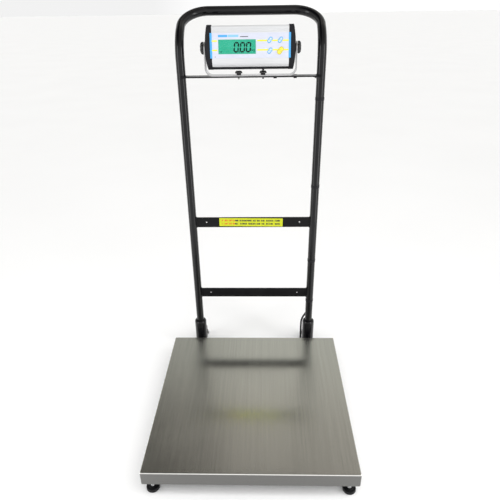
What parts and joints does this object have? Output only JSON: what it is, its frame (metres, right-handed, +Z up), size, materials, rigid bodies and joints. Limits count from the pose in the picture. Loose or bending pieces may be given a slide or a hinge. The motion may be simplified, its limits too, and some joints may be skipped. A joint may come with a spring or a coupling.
{
  "type": "animal weighing scale",
  "caption": "Portable animal weighing scale: square steel pan on a low frame with a load cell, rear wheels, bent tube handle and tilting digital indicator.",
  "frame": {"origin": "on the floor under the centre of the whole scale's bounding box", "axes": "+Z up, +Y towards the handle, +X to the right of someone facing the indicator"},
  "size_m": [0.5, 0.6573, 0.9987],
  "materials": {
    "brushed_stainless": "brushed along the depth",
    "black_powder_coat": "gloss",
    "grey_powder_coat": "satin",
    "zinc_plate": "satin",
    "cell_aluminium": "machined",
    "housing_silver": "satin",
    "cap_plastic": "fine grain",
    "knob_plastic": "gloss",
    "pad_rubber": "matt",
    "tyre_rubber": "matt",
    "hub_plastic": "satin",
    "yoke_steel": "brushed",
    "label_film": "satin",
    "panel_film": "satin",
    "display_green": "satin",
    "display_clear": "clear",
    "board_green": "satin",
    "key_blue": "satin",
    "key_yellow": "satin",
    "cable_sheath": "satin"
  },
  "bodies": {
    "base": {"base_side_rails": "grey_powder_coat", "base_front_rail": "grey_powder_coat", "base_rear_rail": "grey_powder_coat", "foot_lugs": "grey_powder_coat", "foot_lock_nuts": "zinc_plate", "cell_base_plate": "grey_powder_coat", "cell_spacers": "zinc_plate", "load_cell": "cell_aluminium", "cell_bolts": "zinc_plate", "top_plate": "grey_powder_coat", "top_beam_left": "grey_powder_coat", "top_beam_right": "grey_powder_coat", "pan_bumpers": "pad_rubber", "socket_arms": "black_powder_coat", "sockets": "black_powder_coat", "socket_screws": "zinc_plate", "wheel_forks": "black_powder_coat", "axles": "zinc_plate", "handle_tube": "black_powder_coat", "lower_bar": "black_powder_coat", "upper_bar": "black_powder_coat", "bar_label": "label_film", "shelf": "black_powder_coat", "yoke": "yoke_steel", "base_gland": "cap_plastic", "load_cell_cable": "cable_sheath", "indicator_lead": "cable_sheath", "tube_clips": "cap_plastic", "shelf_clips": "cap_plastic"},
    "pan": {"pan": "brushed_stainless"},
    "foot_front_left": {"foot_pad_front_left": "pad_rubber", "foot_stud_front_left": "zinc_plate"},
    "foot_front_right": {"foot_pad_front_right": "pad_rubber", "foot_stud_front_right": "zinc_plate"},
    "foot_rear_left": {"foot_pad_rear_left": "pad_rubber", "foot_stud_rear_left": "zinc_plate"},
    "foot_rear_right": {"foot_pad_rear_right": "pad_rubber", "foot_stud_rear_right": "zinc_plate"},
    "wheel_left": {"wheel_hub_left": "hub_plastic", "wheel_tyre_left": "tyre_rubber"},
    "wheel_right": {"wheel_hub_right": "hub_plastic", "wheel_tyre_right": "tyre_rubber"},
    "thumb_screw_left": {"thumb_screw_left": "knob_plastic"},
    "thumb_screw_right": {"thumb_screw_right": "knob_plastic"},
    "indicator": {"housing": "housing_silver", "end_cap_left": "cap_plastic", "end_cap_right": "cap_plastic", "housing_trim": "cap_plastic", "keypad_panel": "panel_film", "display_panel": "display_green", "display_window": "display_clear", "circuit_board": "board_green", "indicator_gland": "cap_plastic", "pivot_washers": "cap_plastic"},
    "side_knob_left": {"side_knob_left": "knob_plastic"},
    "side_knob_right": {"side_knob_right": "knob_plastic"},
    "key_upper_left": {"key_upper_left": "key_blue"},
    "key_upper_right": {"key_upper_right": "key_blue"},
    "key_lower_left": {"key_lower_left": "key_blue"},
    "key_power": {"key_power": "key_yellow"}
  },
  "joints": [
    {"name": "pan_lift", "type": "slide", "parent": "base", "child": "pan", "axis": [0, 0, 1], "range_m": [0, 0.06]},
    {"name": "foot_turn_front_left", "type": "hinge", "parent": "base", "child": "foot_front_left", "pos_m": [-0.23, -0.30866, 0], "axis": [0, 0, 1], "range_deg": [-180, 180]},
    {"name": "foot_turn_front_right", "type": "hinge", "parent": "base", "child": "foot_front_right", "pos_m": [0.23, -0.30866, 0], "axis": [0, 0, 1], "range_deg": [-180, 180]},
    {"name": "foot_turn_rear_left", "type": "hinge", "parent": "base", "child": "foot_rear_left", "pos_m": [-0.23, 0.15134, 0], "axis": [0, 0, 1], "range_deg": [-180, 180]},
    {"name": "foot_turn_rear_right", "type": "hinge", "parent": "base", "child": "foot_rear_right", "pos_m": [0.23, 0.15134, 0], "axis": [0, 0, 1], "range_deg": [-180, 180]},
    {"name": "wheel_spin_left", "type": "hinge", "parent": "base", "child": "wheel_left", "pos_m": [-0.1725, 0.26004, 0.029], "axis": [1, 0, 0], "continuous": true},
    {"name": "wheel_spin_right", "type": "hinge", "parent": "base", "child": "wheel_right", "pos_m": [0.1725, 0.26004, 0.029], "axis": [1, 0, 0], "continuous": true},
    {"name": "thumb_turn_left", "type": "hinge", "parent": "base", "child": "thumb_screw_left", "pos_m": [-0.03, 0.21304, 0.846], "axis": [0, 0, 1], "range_deg": [0, 360]},
    {"name": "thumb_turn_right", "type": "hinge", "parent": "base", "child": "thumb_screw_right", "pos_m": [0.03, 0.21304, 0.846], "axis": [0, 0, 1], "range_deg": [0, 360]},
    {"name": "indicator_tilt", "type": "hinge", "parent": "base", "child": "indicator", "pos_m": [0, 0.21304, 0.909], "axis": [1, 0, 0], "range_deg": [-20, 20], "deforming": ["indicator_lead"]},
    {"name": "knob_turn_left", "type": "hinge", "parent": "indicator", "child": "side_knob_left", "pos_m": [-0.112, 0.21304, 0.909], "axis": [1, 0, 0], "range_deg": [-180, 180]},
    {"name": "knob_turn_right", "type": "hinge", "parent": "indicator", "child": "side_knob_right", "pos_m": [0.112, 0.21304, 0.909], "axis": [1, 0, 0], "range_deg": [-180, 180]},
    {"name": "press_upper_left", "type": "slide", "parent": "indicator", "child": "key_upper_left", "axis": [0, 0.9848, -0.1736], "range_m": [0, 0.0005], "stiffness_N_per_m": 1500, "springref_m": -0.0002},
    {"name": "press_upper_right", "type": "slide", "parent": "indicator", "child": "key_upper_right", "axis": [0, 0.9848, -0.1736], "range_m": [0, 0.0005], "stiffness_N_per_m": 1500, "springref_m": -0.0002},
    {"name": "press_lower_left", "type": "slide", "parent": "indicator", "child": "key_lower_left", "axis": [0, 0.9848, -0.1736], "range_m": [0, 0.0005], "stiffness_N_per_m": 1500, "springref_m": -0.0002},
    {"name": "press_power", "type": "slide", "parent": "indicator", "child": "key_power", "axis": [0, 0.9848, -0.1736], "range_m": [0, 0.0005], "stiffness_N_per_m": 1500, "springref_m": -0.0002}
  ]
}
